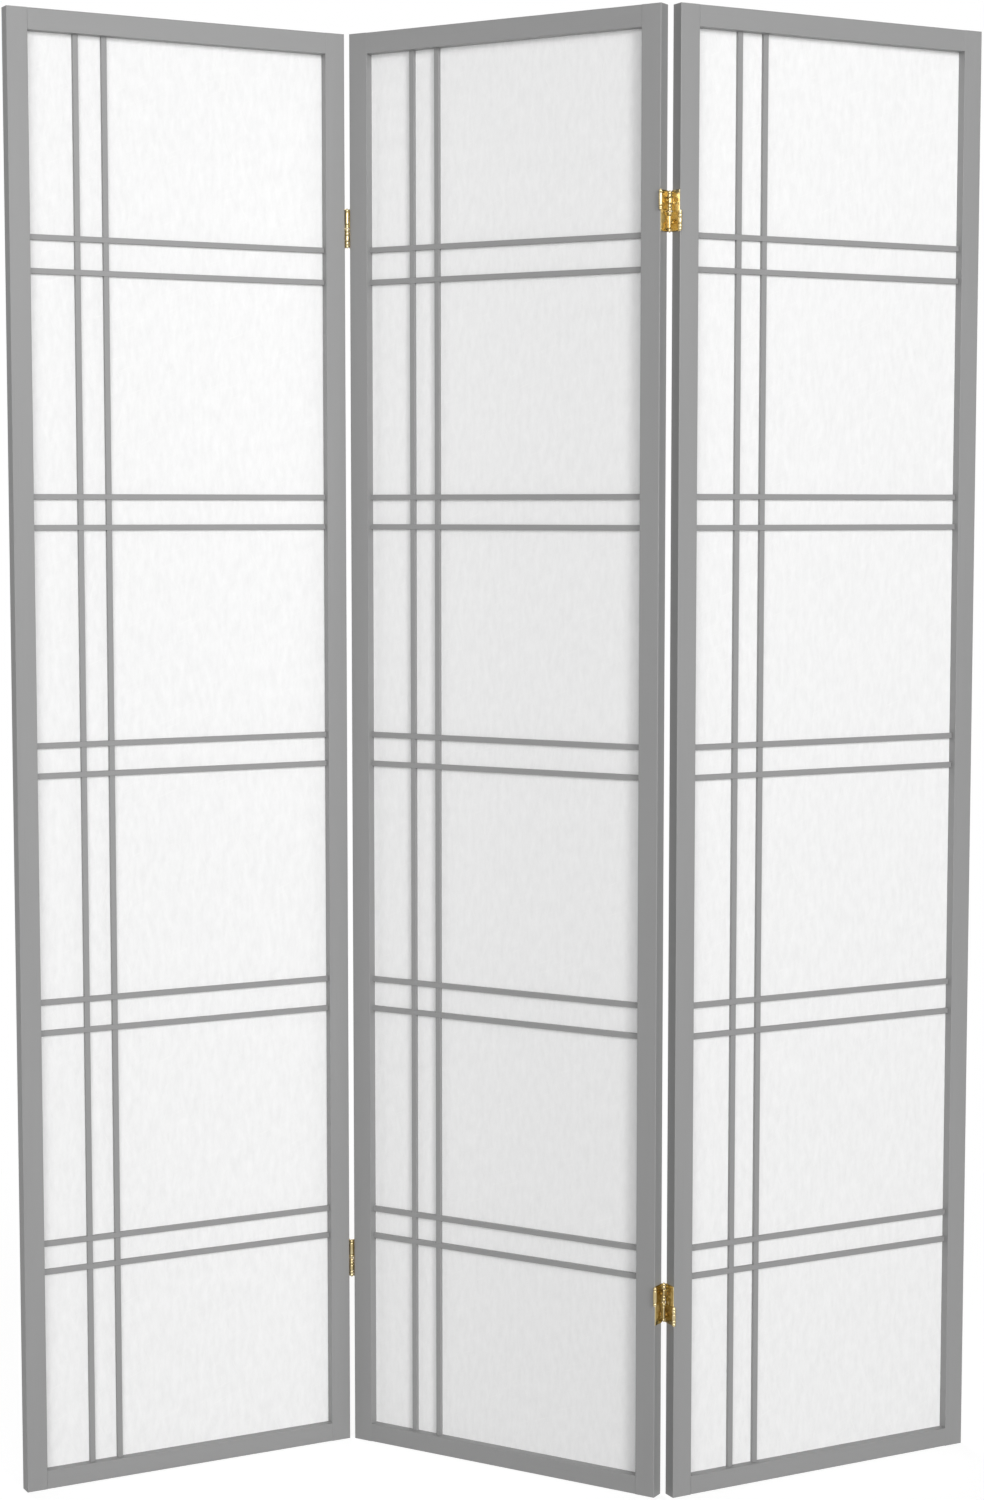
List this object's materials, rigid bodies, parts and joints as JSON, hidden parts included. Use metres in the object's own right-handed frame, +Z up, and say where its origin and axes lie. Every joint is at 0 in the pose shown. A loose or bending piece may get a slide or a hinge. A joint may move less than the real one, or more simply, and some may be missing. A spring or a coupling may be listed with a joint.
{
  "type": "folding screen",
  "caption": "Free-standing folding screen in a zigzag: slim painted wood frames, a light lattice over translucent paper, joined by two-way brass hinges.",
  "frame": {"origin": "centre of the middle panel at floor level, which is the bottom centre of the bounding box", "axes": "+Z up, +X to the right seen from the front, +Y from the front to the back"},
  "size_m": [1.1748, 0.238, 1.784],
  "materials": {
    "frame_wood": "satin grey lacquer",
    "lattice_wood": "satin grey lacquer",
    "bead_wood": "satin grey lacquer",
    "paper": "translucent laid paper with faint fibres",
    "hinge_brass": "polished plated",
    "pin_brass": "polished",
    "screw_brass": "satin"
  },
  "bodies": {
    "panel_2": {"panel_2_bottom_rail": "frame_wood", "panel_2_cross_slats_1": "lattice_wood", "panel_2_cross_slats_2": "lattice_wood", "panel_2_cross_slats_3": "lattice_wood", "panel_2_cross_slats_4": "lattice_wood", "panel_2_cross_slats_5": "lattice_wood", "panel_2_hinge_pins": "pin_brass", "panel_2_hinge_screws": "screw_brass", "panel_2_left_stile": "frame_wood", "panel_2_left_upright": "lattice_wood", "panel_2_paper": "paper", "panel_2_paper_beads": "bead_wood", "panel_2_right_stile": "frame_wood", "panel_2_right_upright": "lattice_wood", "panel_2_top_rail": "frame_wood", "left_junction_lower_hinge_right_leaf": "hinge_brass", "left_junction_upper_hinge_right_leaf": "hinge_brass", "right_junction_lower_hinge_left_leaf": "hinge_brass", "right_junction_upper_hinge_left_leaf": "hinge_brass"},
    "panel_1": {"panel_1_bottom_rail": "frame_wood", "panel_1_cross_slats_1": "lattice_wood", "panel_1_cross_slats_2": "lattice_wood", "panel_1_cross_slats_3": "lattice_wood", "panel_1_cross_slats_4": "lattice_wood", "panel_1_cross_slats_5": "lattice_wood", "panel_1_hinge_pins": "pin_brass", "panel_1_hinge_screws": "screw_brass", "panel_1_left_stile": "frame_wood", "panel_1_left_upright": "lattice_wood", "panel_1_paper": "paper", "panel_1_paper_beads": "bead_wood", "panel_1_right_stile": "frame_wood", "panel_1_right_upright": "lattice_wood", "panel_1_top_rail": "frame_wood", "left_junction_lower_hinge_left_leaf": "hinge_brass", "left_junction_upper_hinge_left_leaf": "hinge_brass"},
    "panel_3": {"panel_3_bottom_rail": "frame_wood", "panel_3_cross_slats_1": "lattice_wood", "panel_3_cross_slats_2": "lattice_wood", "panel_3_cross_slats_3": "lattice_wood", "panel_3_cross_slats_4": "lattice_wood", "panel_3_cross_slats_5": "lattice_wood", "panel_3_hinge_pins": "pin_brass", "panel_3_hinge_screws": "screw_brass", "panel_3_left_stile": "frame_wood", "panel_3_left_upright": "lattice_wood", "panel_3_paper": "paper", "panel_3_paper_beads": "bead_wood", "panel_3_right_stile": "frame_wood", "panel_3_right_upright": "lattice_wood", "panel_3_top_rail": "frame_wood", "right_junction_lower_hinge_right_leaf": "hinge_brass", "right_junction_upper_hinge_right_leaf": "hinge_brass"},
    "left_lower_links": {"left_junction_lower_links": "hinge_brass"},
    "left_upper_links": {"left_junction_upper_links": "hinge_brass"},
    "right_lower_links": {"right_junction_lower_links": "hinge_brass"},
    "right_upper_links": {"right_junction_upper_links": "hinge_brass"}
  },
  "joints": [
    {"name": "left_fold", "type": "hinge", "parent": "panel_2", "child": "left_lower_links", "pos_m": [-0.19688, 0.09608, 0.892], "axis": [0, 0, 1], "range_deg": [-58.2, 121.8]},
    {"name": "left_back_fold", "type": "hinge", "parent": "left_lower_links", "child": "panel_1", "pos_m": [-0.20835, 0.1167, 0.892], "axis": [0, 0, 1], "range_deg": [-90, 0]},
    {"name": "left_upper_link_turn", "type": "hinge", "parent": "panel_2", "child": "left_upper_links", "pos_m": [-0.1854, 0.1167, 0.892], "axis": [0, 0, 1], "range_deg": [-90, 0]},
    {"name": "right_fold", "type": "hinge", "parent": "panel_2", "child": "right_lower_links", "pos_m": [0.19688, -0.09608, 0.892], "axis": [0, 0, 1], "range_deg": [-58.2, 121.8]},
    {"name": "right_front_fold", "type": "hinge", "parent": "right_lower_links", "child": "panel_3", "pos_m": [0.20835, -0.1167, 0.892], "axis": [0, 0, 1], "range_deg": [-90, 0]},
    {"name": "right_upper_link_turn", "type": "hinge", "parent": "panel_2", "child": "right_upper_links", "pos_m": [0.1854, -0.1167, 0.892], "axis": [0, 0, 1], "range_deg": [-90, 0]}
  ],
  "couplings": [
    {"joint": "left_upper_link_turn", "follows": "left_back_fold", "ratio": 1},
    {"joint": "right_upper_link_turn", "follows": "right_front_fold", "ratio": 1}
  ]
}
